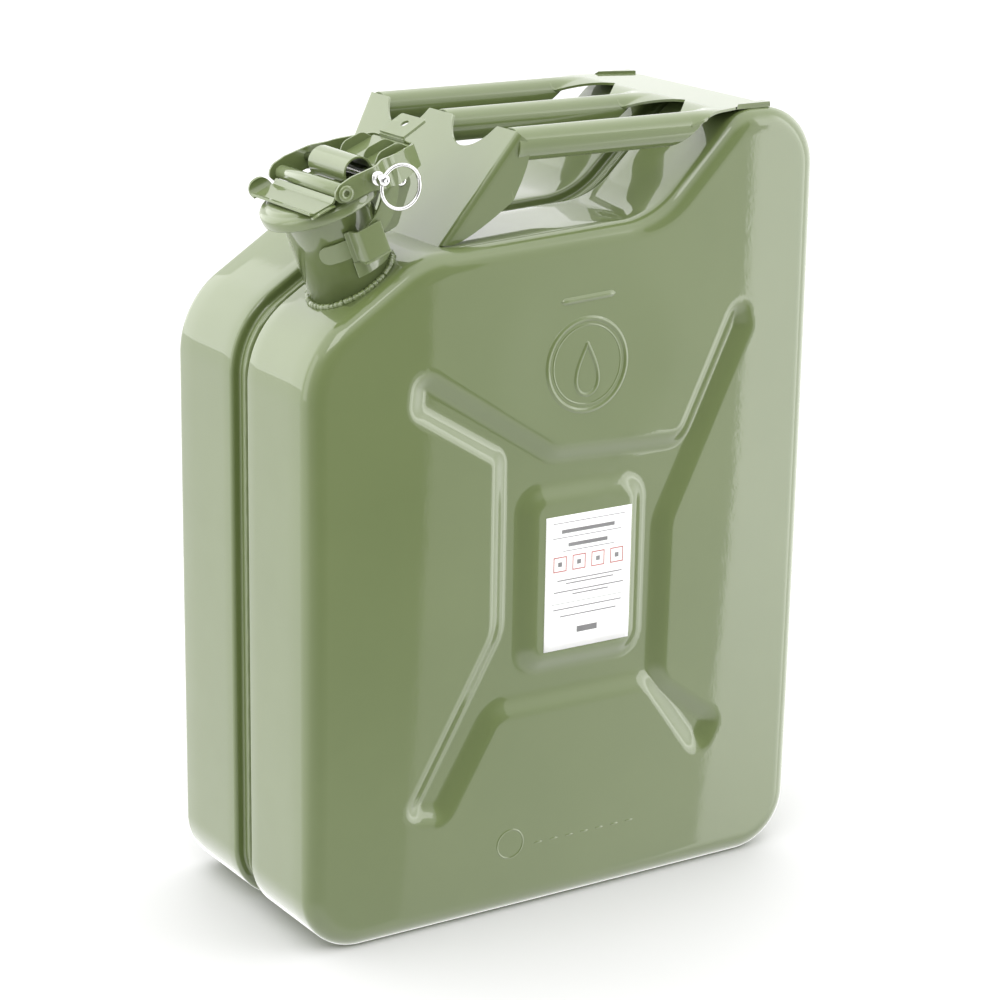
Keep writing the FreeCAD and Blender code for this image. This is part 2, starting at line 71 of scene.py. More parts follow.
# side profile: x, z, corner radius (minus where the corner is hollow)
PROFILE = ((-HALF_LENGTH, 0.0, 36.0), (-HALF_LENGTH, 356.0, 55.0), (-98.0, 404.0, 55.0),
           (58.0, 412.0, -52.0), (116.0, HUMP_TOP, 30.0), (HALF_LENGTH, HUMP_TOP, 36.0),
           (HALF_LENGTH, 0.0, 36.0))
FACE_MIDDLE = (8.0, 207.0)

NECK_FOOT = Vector((-123.0, -40.0, 388.0))
NECK_TILT = math.radians(22.0)
NECK_R, NECK_BORE = 25.0, 23.5
PIVOT_U, PIVOT_N = -2.0, 60.4
HINGE_U, HINGE_N = 42.0, 42.0
LOCK_U, LOCK_N = 17.3, 60.4

bar_low, bar_high = node_mm("handle_bar_middle")
BAR_R = 9.5
BAR_TOP = bar_high[2]
BAR_FRONT = bar_low[0]
BAR_PITCH = node_mm("handle_bar_right")[1][1] - BAR_R


# ---- mesh helpers ----
def grid_faces(rows, columns, wrap_rows=False, wrap_columns=False):
    """Quads of a grid whose vertices are stored row by row."""
    faces = []
    for i in range(rows if wrap_rows else rows - 1):
        for j in range(columns if wrap_columns else columns - 1):
            a = i * columns + j
            b = i * columns + (j + 1) % columns
            c = ((i + 1) % rows) * columns + (j + 1) % columns
            d = ((i + 1) % rows) * columns + j
            faces.append((a, b, c, d))
    return faces


def grid_rim(rows, columns):
    """Vertices round the edge of a grid, in order."""
    rim = list(range(columns))
    rim += [i * columns + columns - 1 for i in range(1, rows)]
    rim += [(rows - 1) * columns + j for j in range(columns - 2, -1, -1)]
    return rim + [i * columns for i in range(rows - 2, 0, -1)]


def from_neck(point):
    """Point of the neck's frame in the row frame."""
    u, v, n = point
    c, s = math.cos(NECK_TILT), math.sin(NECK_TILT)
    return (NECK_FOOT.x + u * c - n * s, NECK_FOOT.y + v, NECK_FOOT.z + u * s + n * c)


def same(point):
    return point


class Part:
    """Vertices and faces gathered from several shapes, made into one mesh."""

    def __init__(self, place=same):
        self.place = place
        self.verts = []
        self.faces = []
        self.marks = []

    def add(self, verts, faces, mark=0):
        start = len(self.verts)
        self.verts += [self.place(tuple(v)) for v in verts]
        self.faces += [tuple(start + i for i in face) for face in faces]
        self.marks += [mark] * len(faces)

    def prism(self, outline, low, high, along="v"):
        """Closed outline pushed between two heights: along v from (u, n), along n from (u, v)."""
        count = len(outline)
        verts = []
        for level in (low, high):
            for a, b in outline:
                verts.append((a, level, b) if along == "v" else (a, b, level))
        faces = [tuple(range(count)), tuple(range(2 * count - 1, count - 1, -1))]
        for i in range(count):
            j = (i + 1) % count
            faces.append((i, i + count, j + count, j))
        self.add(verts, faces)

    def sheet(self, path, thickness, low, high, along="v"):
        """Bent sheet metal: a rounded path given a thickness and pushed between two heights."""
        self.prism(thick_path(rounded_path(path), thickness), low, high, along)

    def lathe(self, profile, origin=(0.0, 0.0), axis="n", steps=96):
        """Closed (radius, height) profile turned round an axis through origin."""
        verts = []
        for i in range(steps):
            angle = 2.0 * math.pi * i / steps
            for radius, height in profile:
                a, b = radius * math.cos(angle), radius * math.sin(angle)
                if axis == "n":
                    verts.append((origin[0] + a, origin[1] + b, height))
                else:
                    verts.append((origin[0] + a, height, origin[1] + b))
        self.add(verts, grid_faces(steps, len(profile), True, True))

    def sweep(self, path, radius, sides=16, closed=False):
        """Round bar along 3-D points; radius is a number or one number per point."""
        points = [Vector(p) for p in path]
        count = len(points)
        verts = []
        side = None
        for i, point in enumerate(points):
            if closed:
                run = points[(i + 1) % count] - points[i - 1]
            else:
                run = points[min(i + 1, count - 1)] - points[max(i - 1, 0)]
            run.normalize()
            if side is None:
                side = run.orthogonal().normalized()
            side = (side - run * side.dot(run)).normalized()
            other = run.cross(side)
            size = radius[i] if hasattr(radius, "__len__") else radius
            for k in range(sides):
                angle = 2.0 * math.pi * k / sides
                verts.append(point + (side * math.cos(angle) + other * math.sin(angle)) * size)
        faces = grid_faces(count, sides, closed, True)
        if not closed:
            faces.append(tuple(reversed(range(sides))))
            faces.append(tuple(range((count - 1) * sides, count * sides)))
        self.add(verts, faces)

    def build(self, name):
        """The bare Blender object."""
        mesh = bpy.data.meshes.new(name)
        mesh.from_pydata([Vector(v) * MM for v in self.verts], [], self.faces)
        for polygon, mark in zip(mesh.polygons, self.marks):
            polygon.material_index = mark
        fix = bmesh.new()
        fix.from_mesh(mesh)
        bmesh.ops.recalc_face_normals(fix, faces=fix.faces)
        fix.to_mesh(mesh)
        fix.free()
        mesh.shade_smooth()
        piece = bpy.data.objects.new(name, mesh)
        scene.collection.objects.link(piece)
        return piece

    def make(self, name, body, materials, node=None, slot="body_paint", bevel=0.25):
        """The finished piece, riding on its body in the place of a CAD node."""
        piece = self.build(name)
        for material in materials if isinstance(materials, list) else [materials]:
            piece.data.materials.append(material)
        if bevel:
            rounding = piece.modifiers.new("edges", "BEVEL")
            rounding.width = bevel * MM
            rounding.segments = 2
            rounding.limit_method = "ANGLE"
            rounding.angle_limit = math.radians(38.0)
            rounding.harden_normals = True
        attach(piece, body)
        if node:
            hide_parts(node)
        return piece


def rounded_path(path, steps=7, closed=False):
    """Path of (a, b, radius) corners with each corner turned into an arc."""
    points = []
    count = len(path)
    for i, (a, b, radius) in enumerate(path):
        here = Vector((a, b))
        if radius <= 0.0 or (not closed and i in (0, count - 1)):
            points.append(here)
            continue
        before = (Vector(path[i - 1][:2]) - here).normalized()
        after = (Vector(path[(i + 1) % count][:2]) - here).normalized()
        half = before.angle(after) / 2.0
        middle = (before + after).normalized()
        centre = here + middle * (radius / math.sin(half))
        start = here + before * (radius / math.tan(half)) - centre
        sweep = math.pi - 2.0 * half
        turn = 1.0 if start.x * (-middle.y) - start.y * (-middle.x) > 0.0 else -1.0
        for k in range(steps + 1):
            angle = turn * sweep * k / steps
            points.append(centre + Vector((start.x * math.cos(angle) - start.y * math.sin(angle),
                                           start.x * math.sin(angle) + start.y * math.cos(angle))))
    return [(p.x, p.y) for p in points]


def outline(corners, steps=7):
    return rounded_path(corners, steps, True)


def thick_path(points, thickness):
    """Closed outline of a path given a thickness on both sides."""
    sides = ([], [])
    count = len(points)
    for i in range(count):
        a = Vector(points[max(i - 1, 0)])
        b = Vector(points[min(i + 1, count - 1)])
        run = (b - a).normalized()
        normal = Vector((-run.y, run.x)) * (thickness / 2.0)
        here = Vector(points[i])
        sides[0].append(tuple(here + normal))
        sides[1].append(tuple(here - normal))
    return sides[0] + sides[1][::-1]


def smoothstep(value):
    t = np.clip(value, 0.0, 1.0)
    return t * t * (3.0 - 2.0 * t)


def arc(a, b, radius, start, stop, steps, tall=None):
    """Points from start to stop degrees round (a, b); tall is the radius along b."""
    angles = [math.radians(start + (stop - start) * k / steps) for k in range(steps + 1)]
    return [(a + radius * math.cos(t), b + (tall or radius) * math.sin(t)) for t in angles]


def circle(a, b, radius, steps):
    return arc(a, b, radius, 0.0, 360.0, steps)[:-1]


# ---- materials ----
def grey(level):
    return (level, level, level)


class Tree:
    """Shader nodes of a material or a world. An input is a socket to link or a value to set."""

    def __init__(self, owner):
        owner.use_nodes = True
        self.nodes = owner.node_tree.nodes
        self.link = owner.node_tree.links.new
        self.places = self.nodes.new("ShaderNodeTexCoord").outputs

    def fill(self, node, inputs):
        for name, value in inputs.items():
            if isinstance(value, bpy.types.NodeSocket):
                self.link(value, node.inputs[name])
            else:
                node.inputs[name].default_value = value

    def node(self, kind, inputs, output, **settings):
        node = self.nodes.new("ShaderNode" + kind)
        for name, value in settings.items():
            setattr(node, name, value)
        self.fill(node, inputs)
        return node.outputs[output]

    def noise(self, scale, detail):
        inputs = {"Vector": self.places["Object"], "Scale": scale, "Detail": detail}
        return self.node("TexNoise", inputs, "Fac")

    def ramp(self, source, stops):
        """Colour ramp from (position, colour) stops."""
        node = self.nodes.new("ShaderNodeValToRGB")
        while len(node.color_ramp.elements) < len(stops):
            node.color_ramp.elements.new(0.5)
        for element, (position, colour) in zip(node.color_ramp.elements, stops):
            element.position = position
            element.color = (*colour, 1.0)
        self.fill(node, {"Fac": source})
        return node.outputs["Color"]

    def mix(self, share, first, second, blend="MIX"):
        inputs = {"Factor": share, "A": first, "B": second}
        return self.node("Mix", inputs, "Result", data_type="RGBA", blend_type=blend)

    def spread(self, source, low, high):
        """A noise stretched between two values."""
        return self.node("MapRange", {"Value": source, "To Min": low, "To Max": high}, "Result")

    def bumps(self, *layers):
        """Chain of bump nodes from (height, strength, distance) layers; returns the last normal."""
        normal = None
        for height, strength, distance in layers:
            inputs = {"Height": height, "Strength": strength, "Distance": distance}
            if normal is not None:
                inputs["Normal"] = normal
            normal = self.node("Bump", inputs, "Normal")
        return normal

    def calculate(self, operation, first, second):
        return self.node("Math", {0: first, 1: second}, 0, operation=operation)


def new_material(name):
    material = bpy.data.materials.new(name)
    tree = Tree(material)
    return material, tree, tree.nodes["Principled BSDF"]


def paint_material():
    """Gloss olive enamel: faint cloudiness, orange peel and a painted highlight, a paler colour on
    sharp edges.
    """
    material, tree, shader = new_material("olive_enamel")
    cloud = [(0.3, (0.099, 0.133, 0.041)), (0.7, (0.110, 0.145, 0.047))]
    body = tree.ramp(tree.noise(9.0, 4.0), cloud)
    edge = tree.node("NewGeometry", {}, "Pointiness")
    # painted highlight: sharp convex edges are given a paler olive colour that stands in for the light
    # caught on rounded edges
    painted_edge_highlight = tree.ramp(edge, [(0.515, grey(0.0)), (0.60, grey(0.5))])
    normal = tree.bumps((tree.noise(620.0, 2.0), 0.012, 0.0003),
                        (tree.noise(120.0, 2.0), 0.008, 0.0008))
    tree.fill(shader, {
        "Base Color": tree.mix(painted_edge_highlight, body, (0.18, 0.22, 0.11, 1.0)),
        "Roughness": tree.spread(tree.noise(40.0, 5.0), 0.42, 0.52), "Specular IOR Level": 0.25,
        "Coat Weight": 1.0, "Coat Roughness": 0.018, "Coat IOR": 1.55,
        "Normal": normal, "Coat Normal": normal})
    return material


def metal_material(name, colour, roughness):
    """Plated steel with fine scratches and a slight change of tone."""
    material, tree, shader = new_material(name)
    stops = [(0.3, tuple(c * 0.8 for c in colour)), (0.7, colour)]
    tree.fill(shader, {
        "Base Color": tree.ramp(tree.noise(160.0, 4.0), stops), "Metallic": 1.0,
        "Roughness": tree.spread(tree.noise(900.0, 3.0), roughness * 0.7, roughness * 1.3),
        "Normal": tree.bumps((tree.noise(1500.0, 2.0), 0.08, 0.0002))})
    return material


def plain_material(name, tone, stops, roughness, grain=None):
    """Surface whose colour varies a little; tone is a noise, grain a noise and its strength."""
    material, tree, shader = new_material(name)
    tree.fill(shader, {"Base Color": tree.ramp(tree.noise(*tone), stops), "Roughness": roughness})
    if grain:
        scale, detail, strength = grain
        tree.fill(shader, {"Normal": tree.bumps((tree.noise(scale, detail), strength, 0.0002))})
    return material


def film_material(name, light, dark):
    """Printed film with a satin surface."""
    return plain_material(name, (60.0, 3.0), [(0.3, dark), (0.7, light)], 0.33, (1100.0, 2.0, 0.06))


PAINT = paint_material()
ZINC = metal_material("zinc_plate", (0.66, 0.66, 0.65), 0.2)
RUBBER = plain_material("gasket_rubber", (90.0, 5.0),
                        [(0.3, grey(0.012)), (0.8, (0.035, 0.035, 0.034))],
                        0.62, (1400.0, 3.0, 0.2))
FILM = film_material("label_film", (0.90, 0.90, 0.89), (0.86, 0.86, 0.85))
INK = film_material("label_ink", grey(0.20), grey(0.14))
ACCENT = film_material("label_accent", (0.42, 0.12, 0.10), (0.36, 0.09, 0.08))


# ---- body shells ----
def profile_ring(inset):
    """Points round the side profile moved inwards, the same count at every inset."""
    count = len(PROFILE)
    lines = []
    for i in range(count):
        a, b = Vector(PROFILE[i][:2]), Vector(PROFILE[(i + 1) % count][:2])
        run = (b - a).normalized()
        lines.append((a + Vector((run.y, -run.x)) * inset, run, (b - a).length))
    moved = []
    for i in range(count):
        point_a, run_a, _ = lines[i - 1]
        point_b, run_b, _ = lines[i]
        across = run_a.x * run_b.y - run_a.y * run_b.x
        gap = point_b - point_a
        along = (gap.x * run_b.y - gap.y * run_b.x) / across
        radius = PROFILE[i][2]
        radius = inset - radius if radius < 0.0 else radius - inset
        moved.append((*(point_a + run_a * along), radius))
    arcs = []
    for i in range(count):
        trio = [moved[i - 1], moved[i], moved[(i + 1) % count]]
        arcs.append(rounded_path(trio, 26)[1:-1])
    points = []
    for i in range(count):
        points += arcs[i]
        start, stop = Vector(arcs[i][-1]), Vector(arcs[(i + 1) % count][0])
        steps = max(2, round(lines[i][2] / 2.4))
        points += [tuple(start.lerp(stop, k / steps)) for k in range(1, steps)]
    return np.array(points)


# the large face falls away from its highest point: middle, reach and drop along x and z
CROWN_MIDDLE = (5.0, 215.0)
CROWN_REACH = (160.0, 225.0)
CROWN_DROP = (1.1, 2.4)
RELIEF_DEEP = 4.6
RELIEF_WALL = 13.0
RELIEF_OUTLINE = ((-101.0, 338.0, 6.0), (-12.0, 280.0, 20.0), (79.0, 277.0, 14.0),
                  (118.0, 356.0, 3.0), (122.0, 340.0, 3.0), (67.0, 229.0, 30.0),
                  (66.0, 128.0, 20.0), (110.0, 96.0, 6.0), (100.0, 76.0, 6.0),
                  (60.0, 130.0, 14.0), (-50.0, 130.0, 14.0), (-84.0, 72.0, 6.0),
                  (-106.0, 76.0, 6.0), (-48.0, 178.0, 30.0), (-48.0, 283.0, 6.0),
                  (-103.0, 317.0, 6.0))
PAD_MIDDLE = (10.0, 205.0)
PAD_HALF = (39.0, 52.0)
PAD_CORNER = 12.0
# marks above the relief: a ring's middle, a bar over it, and a shallow dish round both
MARK_RING = (9.5, 331.0)
MARK_BAR_HALF, MARK_BAR_Z = 18.5, 370.0
DISH_DEEP, DISH_R, DISH_EDGE = 0.5, 66.0, 42.0


def outline_depth(x, z, points):
    """How far each point lies inside a closed outline; minus outside."""
    nearest = np.full(x.shape, 1e9)
    inside = np.zeros(x.shape, bool)
    for (ax, az), (bx, bz) in zip(points, points[1:] + points[:1]):
        run_x, run_z = bx - ax, bz - az
        along = np.clip(((x - ax) * run_x + (z - az) * run_z) / (run_x ** 2 + run_z ** 2 + 1e-9), 0, 1)
        gap = np.hypot(x - ax - along * run_x, z - az - along * run_z)
        nearest = np.minimum(nearest, gap)
        crosses = (az > z) != (bz > z)
        with np.errstate(divide="ignore", invalid="ignore"):
            at = ax + (z - az) * run_x / (run_z if run_z else 1e-9)
        inside ^= crosses & (x < at)
    return np.where(inside, nearest, -nearest)


RELIEF_POINTS = outline(RELIEF_OUTLINE, 5)


def face_sink(x, z):
    """How far the pressed face lies below its highest plane at each point."""
    x, z = np.asarray(x, float), np.asarray(z, float)
    crown = (CROWN_DROP[0] * ((x - CROWN_MIDDLE[0]) / CROWN_REACH[0]) ** 2
             + CROWN_DROP[1] * ((z - CROWN_MIDDLE[1]) / CROWN_REACH[1]) ** 2)
    arms = outline_depth(x, z, RELIEF_POINTS)
    pad_x = np.abs(x - PAD_MIDDLE[0]) - PAD_HALF[0] + PAD_CORNER
    pad_z = np.abs(z - PAD_MIDDLE[1]) - PAD_HALF[1] + PAD_CORNER
    pad = (np.hypot(np.maximum(pad_x, 0.0), np.maximum(pad_z, 0.0))
           + np.minimum(np.maximum(pad_x, pad_z), 0.0) - PAD_CORNER)
    recess = np.minimum(arms, pad)
    from_ring = np.hypot(x - MARK_RING[0], z - MARK_RING[1])
    dish = DISH_DEEP * smoothstep((DISH_R - from_ring) / DISH_EDGE)
    return crown + RELIEF_DEEP * smoothstep(recess / RELIEF_WALL + 0.5) + dish


def pressed_half(side):
    """One pressed half as a closed skin; side is -1 for the filler side, 1 for the other."""
    rings = []

    def ring(inset, depth):
        points = profile_ring(inset)
        rings.append((points, np.broadcast_to(np.asarray(depth, float), len(points))))

    edge = profile_ring(FACE_RADIUS)
    middle = np.array(FACE_MIDDLE)
    edge_depth = face_sink(edge[:, 0], edge[:, 1])
    for t in np.linspace(0.985, 0.0, 104):
        points = middle + (edge - middle) * (1.0 - t)
        rings.append((points, face_sink(points[:, 0], points[:, 1])))
    for step in range(1, 9):
        angle = math.pi / 2.0 * step / 8.0
        depth = edge_depth + (FACE_RADIUS - edge_depth) * (1.0 - math.cos(angle))
        ring(FACE_RADIUS * (1.0 - math.sin(angle)), depth)
    wall_end = HALF_DEPTH - GROOVE_HALF
    for depth in (26.0, 45.0, 62.0):
        ring(0.0, depth)
    for step in range(0, 6):
        angle = math.pi / 2.0 * step / 5.0
        ring(2.5 * (1.0 - math.cos(angle)), wall_end - 2.5 + 2.5 * math.sin(angle))
    for step in range(0, 5):
        angle = math.pi / 2.0 * step / 4.0
        ring(GROOVE_DEEP - 1.5 * (1.0 - math.sin(angle)), wall_end + 1.5 * (1.0 - math.cos(angle)))
    ring(GROOVE_DEEP, HALF_DEPTH)
    ring(GROOVE_DEEP + SKIN, HALF_DEPTH)
    ring(GROOVE_DEEP + SKIN, wall_end - SKIN)
    ring(SKIN, wall_end - SKIN)
    ring(SKIN, FACE_RADIUS + RELIEF_DEEP)
    inner_depth = RELIEF_DEEP + sum(CROWN_DROP) + SKIN
    for t in (0.05, 0.3, 0.6, 0.985):
        points = middle + (profile_ring(SKIN + 4.0) - middle) * (1.0 - t)
        rings.append((points, np.full(len(points), inner_depth)))

    part = Part()
    verts = []
    for points, depth in rings:
        y = side * (HALF_DEPTH - depth)
        verts += list(zip(points[:, 0], y, points[:, 1]))
    count = len(edge)
    faces = grid_faces(len(rings), count, False, True)
    last = (len(rings) - 1) * count
    outer_cap = len(verts)
    verts.append((middle[0], side * (HALF_DEPTH - float(face_sink(*middle))), middle[1]))
    verts.append((middle[0], side * (HALF_DEPTH - inner_depth), middle[1]))
    for j in range(count):
        k = (j + 1) % count
        faces.append((outer_cap, k, j))
        faces.append((outer_cap + 1, last + j, last + k))
    part.add(verts, faces)
    return part


def cut_hole(piece, cutter):
    """Cut another object's shape out of a piece and drop the cutter."""
    boolean = piece.modifiers.new("hole", "BOOLEAN")
    boolean.operation = "DIFFERENCE"
    boolean.solver = "EXACT"
    boolean.object = cutter
    bpy.context.view_layer.update()
    done = piece.evaluated_get(bpy.context.evaluated_depsgraph_get())
    mesh = bpy.data.meshes.new_from_object(done)
    piece.modifiers.remove(boolean)
    piece.data = mesh
    bpy.data.objects.remove(cutter)


def on_face(x, z, side, raise_by):
    return (x, side * (HALF_DEPTH - float(face_sink(x, z)) + raise_by), z)


def raised_line(part, path, side, half_width=1.7, height=0.75, closed=False):
    """Soft raised bead pressed up along a line of (x, z) points on the large face."""
    count = len(path)
    across = (-1.0, -0.7, -0.4, 0.0, 0.4, 0.7, 1.0)
    verts = []
    for i, (x, z) in enumerate(path):
        if closed:
            a, b = path[i - 1], path[(i + 1) % count]
        else:
            a, b = path[max(i - 1, 0)], path[min(i + 1, count - 1)]
        run = Vector((b[0] - a[0], b[1] - a[1])).normalized()
        end = 1.0 if closed or 0 < i < count - 1 else 0.35
        for offset in across:
            px = x - run.y * offset * half_width * end
            pz = z + run.x * offset * half_width * end
            lift = height * 0.5 * (1.0 + math.cos(math.pi * offset)) * end - 0.06
            verts.append(on_face(px, pz, side, lift))
        for offset in (0.9, -0.9):
            verts.append(on_face(x - run.y * offset * half_width * end,
                                 z + run.x * offset * half_width * end, side, -0.6))
    columns = len(across) + 2
    faces = grid_faces(count, columns, closed, True)
    if not closed:
        faces.append(tuple(range(columns)))
        faces.append(tuple(reversed(range((count - 1) * columns, count * columns))))
    part.add(verts, faces)


def face_marks(part, side):
    """Plain raised marks: a bar, a ring with a drop inside, and a small ring with dashes."""
    middle_x, middle_z = MARK_RING
    bar = [(middle_x + MARK_BAR_HALF * k / 8.0, MARK_BAR_Z + k / 8.0) for k in range(-8, 9)]
    raised_line(part, bar, side, 2.2, 1.25)
    raised_line(part, circle(middle_x, middle_z, 27.0, 96), side, 1.8, 0.85, True)
    raised_line(part, circle(middle_x, middle_z, 23.2, 96), side, 0.9, 0.35, True)
    drop = []
    for k in range(56):
        t = 2.0 * math.pi * k / 56.0
        drop.append((middle_x + 10.5 * math.sin(t) * math.sin(t / 2.0) ** 1.3,
                     middle_z - 2.5 + 15.2 * math.cos(t)))
    raised_line(part, drop, side, 1.5, 0.9, True)
    raised_line(part, circle(-37.0, 44.0, 9.0, 48), side, 0.9, 0.35, True)
    for k in range(7):
        x = -20.0 + 11.0 * k
        dash = [(x + 6.0 * j / 4.0, 41.0) for j in range(5)]
        raised_line(part, dash, side, 0.9, 0.35)


def make_shells():
    for side, name in ((-1, "left"), (1, "right")):
        node = "body_shell_" + name
        shell = pressed_half(side).make("shell_" + name, "can", PAINT, node, bevel=0)
        if side < 0:
            hole = Part(from_neck)
            hole.lathe([(0.01, -40.0), (NECK_R - 0.4, -40.0), (NECK_R - 0.4, 30.0), (0.01, 30.0)])
            cut_hole(shell, hole.build("neck_cutter"))
        marks = Part()
        face_marks(marks, side)
        marks.make("face_marks_" + name, "can", PAINT, bevel=0)


def make_seam():
    """Rounded weld ridge along the bottom of the groove, a little uneven."""
    part = Part()
    shape = [(-1.7, -0.5), (-1.5, 0.7), (-1.05, 1.7), (-0.45, 2.3), (0.45, 2.3), (1.05, 1.7),
             (1.5, 0.7), (1.7, -0.5)]
    verts = []
    low, high = profile_ring(GROOVE_DEEP), profile_ring(GROOVE_DEEP - 1.0)
    outward = high - low
    for i, (base, out) in enumerate(zip(low, outward)):
        wobble = 0.12 * math.sin(i * 0.9) + 0.08 * math.sin(i * 0.37 + 1.0)
        for y, rise in shape:
            point = base + out * (rise + (wobble if rise > 0 else 0.0))
            verts.append((point[0], y, point[1]))
    part.add(verts, grid_faces(len(low), len(shape), True, True))
    part.make("seam_ridge", "can", PAINT, "seam_weld", bevel=0)


# ---- label ----
def make_label():
    """Plain white film with grey bars and outlined squares in place of any print."""
    low, high = node_mm("label")
    wide, tall = high[0] - low[0], high[2] - low[2]
    bars = []

    def bar(x0, x1, z, height, mark=1):
        bars.append((x0, x1, z, z + height, mark))

    bar(0.08, 0.92, 0.945, 0.006)
    bar(0.18, 0.80, 0.868, 0.028)
    bar(0.08, 0.88, 0.835, 0.006)
    bar(0.26, 0.72, 0.765, 0.028)
    bar(0.20, 0.80, 0.733, 0.006)
    for k in range(4):
        left, base, size = 0.09 + 0.222 * k, 0.585, 0.155
        rise = size * wide / tall
        line_x, line_z = 0.012, 0.012 * wide / tall
        bar(left, left + size, base, line_z, 2)
        bar(left, left + size, base + rise - line_z, line_z, 2)
        bars.append((left, left + line_x, base, base + rise, 2))
        bars.append((left + size - line_x, left + size, base, base + rise, 2))
        bars.append((left + 0.35 * size, left + 0.65 * size, base + 0.35 * rise,
                     base + 0.65 * rise, 1))
    bar(0.14, 0.90, 0.515, 0.009)
    bar(0.24, 0.80, 0.487, 0.009)
    bar(0.10, 0.92, 0.430, 0.009)
    bar(0.32, 0.74, 0.402, 0.009)
    bar(0.08, 0.92, 0.345, 0.004)
    bar(0.10, 0.90, 0.300, 0.009)
    bar(0.18, 0.84, 0.245, 0.009)
    bar(0.38, 0.62, 0.110, 0.045)

    xs = sorted({0.0, 1.0} | {b[0] for b in bars} | {b[1] for b in bars})
    zs = sorted({0.0, 1.0} | {b[2] for b in bars} | {b[3] for b in bars})
    part = Part()
    front = low[1]
    back = high[1] + 0.15
    verts = [(low[0] + x * wide, front, low[2] + z * tall) for z in zs for x in xs]
    columns = len(xs)
    for i in range(len(zs) - 1):
        for j in range(columns - 1):
            middle_x, middle_z = (xs[j] + xs[j + 1]) / 2.0, (zs[i] + zs[i + 1]) / 2.0
            mark = 0
            for x0, x1, z0, z1, which in bars:
                if x0 < middle_x < x1 and z0 < middle_z < z1:
                    mark = which
            a = i * columns + j
            part.faces.append((a, a + 1, a + columns + 1, a + columns))
            part.marks.append(mark)
    rim = grid_rim(len(zs), columns)
    start = len(verts)
    verts += [(verts[i][0], back, verts[i][2]) for i in rim]
    for k in range(len(rim)):
        following = (k + 1) % len(rim)
        part.faces.append((rim[k], start + k, start + following, rim[following]))
        part.marks.append(0)
    part.faces.append(tuple(range(start, start + len(rim))))
    part.marks.append(0)
    part.verts = verts
    part.make("label_film", "can", [FILM, INK, ACCENT], "label", "label_film", bevel=0)


# ---- filler neck ----
def top_of_body(x):
    """Height of the side profile's upper line at x."""
    ring = profile_ring(0.0)
    upper = ring[ring[:, 1] > 300.0]
    order = np.argsort(upper[:, 0])
    return float(np.interp(x, upper[order, 0], upper[order, 1]))


def neck_meets_body(angle, radius):
    """Height up the neck, at one angle round it, where the tube meets the shoulder."""
    low, high = -30.0, 40.0
    u, v = radius * math.cos(angle), radius * math.sin(angle)
    for _ in range(30):
        middle = (low + high) / 2.0
        point = from_neck((u, v, middle))
        if point[2] > top_of_body(point[0]):
            high = middle
        else:
            low = middle
    return (low + high) / 2.0


def make_neck():
    part = Part(from_neck)
    part.lathe([(NECK_BORE, -16.0), (NECK_R, -16.0), (NECK_R, 45.0), (NECK_R + 0.8, 46.6),
                (28.2, 47.4), (29.0, 48.2), (29.0, 49.2), (28.2, 50.0), (26.0, 50.0),
                (24.4, 49.6), (23.7, 48.6), (NECK_BORE, 47.0)])
    part.make("filler_neck", "can", PAINT, "neck", bevel=0)

    bead = Part(from_neck)
    path, sizes = [], []
    steps = 360
    for i in range(steps):
        angle = 2.0 * math.pi * i / steps
        ripple = (math.sin(61.0 * angle) * 0.4 + math.sin(37.0 * angle + 1.0) * 0.35
                  + math.sin(89.0 * angle + 2.0) * 0.3)
        drift = (math.sin(5.0 * angle) * 0.3 + math.sin(23.0 * angle + 2.0) * 0.3
                 + math.sin(53.0 * angle + 0.5) * 0.35)
        radius = NECK_R + 0.7 + 0.25 * drift
        height = neck_meets_body(angle, NECK_R + 0.5) + 0.25 + 0.4 * drift
        path.append((radius * math.cos(angle), radius * math.sin(angle), height))
        sizes.append(1.9 + 0.55 * ripple)
    bead.sweep(path, sizes, 12, True)
    bead.make("neck_weld", "can", PAINT, "neck_weld_bead", bevel=0)


def curved_band(part, radius, thickness, start, stop, low, high, round_end=0.0):
    """Sheet that hugs the neck between two angles (degrees), with rounded ends."""
    steps = 48
    verts = []
    for i in range(steps + 1):
        share = i / steps
        angle = math.radians(start + (stop - start) * share)
        from_end = min(share, 1.0 - share) * abs(math.radians(stop - start)) * radius
        shrink = 0.0
        if round_end and from_end < round_end:
            shrink = round_end - math.sqrt(max(round_end ** 2 - (round_end - from_end) ** 2, 0.0))
        for r, n in ((radius, low + shrink), (radius + thickness, low + shrink),
                     (radius + thickness, high - shrink), (radius, high - shrink)):
            verts.append((r * math.cos(angle), r * math.sin(angle), n))
    faces = grid_faces(steps + 1, 4, False, True)
    faces.append((3, 2, 1, 0))
    faces.append(tuple(steps * 4 + k for k in range(4)))
    part.add(verts, faces)


def make_neck_bracket():
    """Band round the neck with a loop on each side that the lever's claw drops behind."""
    part = Part(from_neck)
    curved_band(part, NECK_R, 1.3, -104.0, 104.0, 8.0, 17.5)
    for side in (-1, 1):
        curved_band(part, NECK_R, 1.3, side * 141.0, side * 88.0, 20.5, 31.5, 5.4)
        path = [(-6.0, side * 25.2, 0.0), (-3.0, side * 26.0, 1.6), (-1.6, side * 33.3, 2.0),
                (13.5, side * 33.3, 0.0)]
        part.sheet(path, 1.5, 17.5, 35.6, "n")
        shelf = [(-3.0, side * 24.6), (-2.4, side * 33.9), (13.5, side * 33.9), (13.5, side * 21.0),
                 (5.0, side * 24.3)]
        part.prism(shelf, 16.0, 17.5, "n")
    part.make("neck_clip", "can", PAINT, "neck_bracket", bevel=0.35)


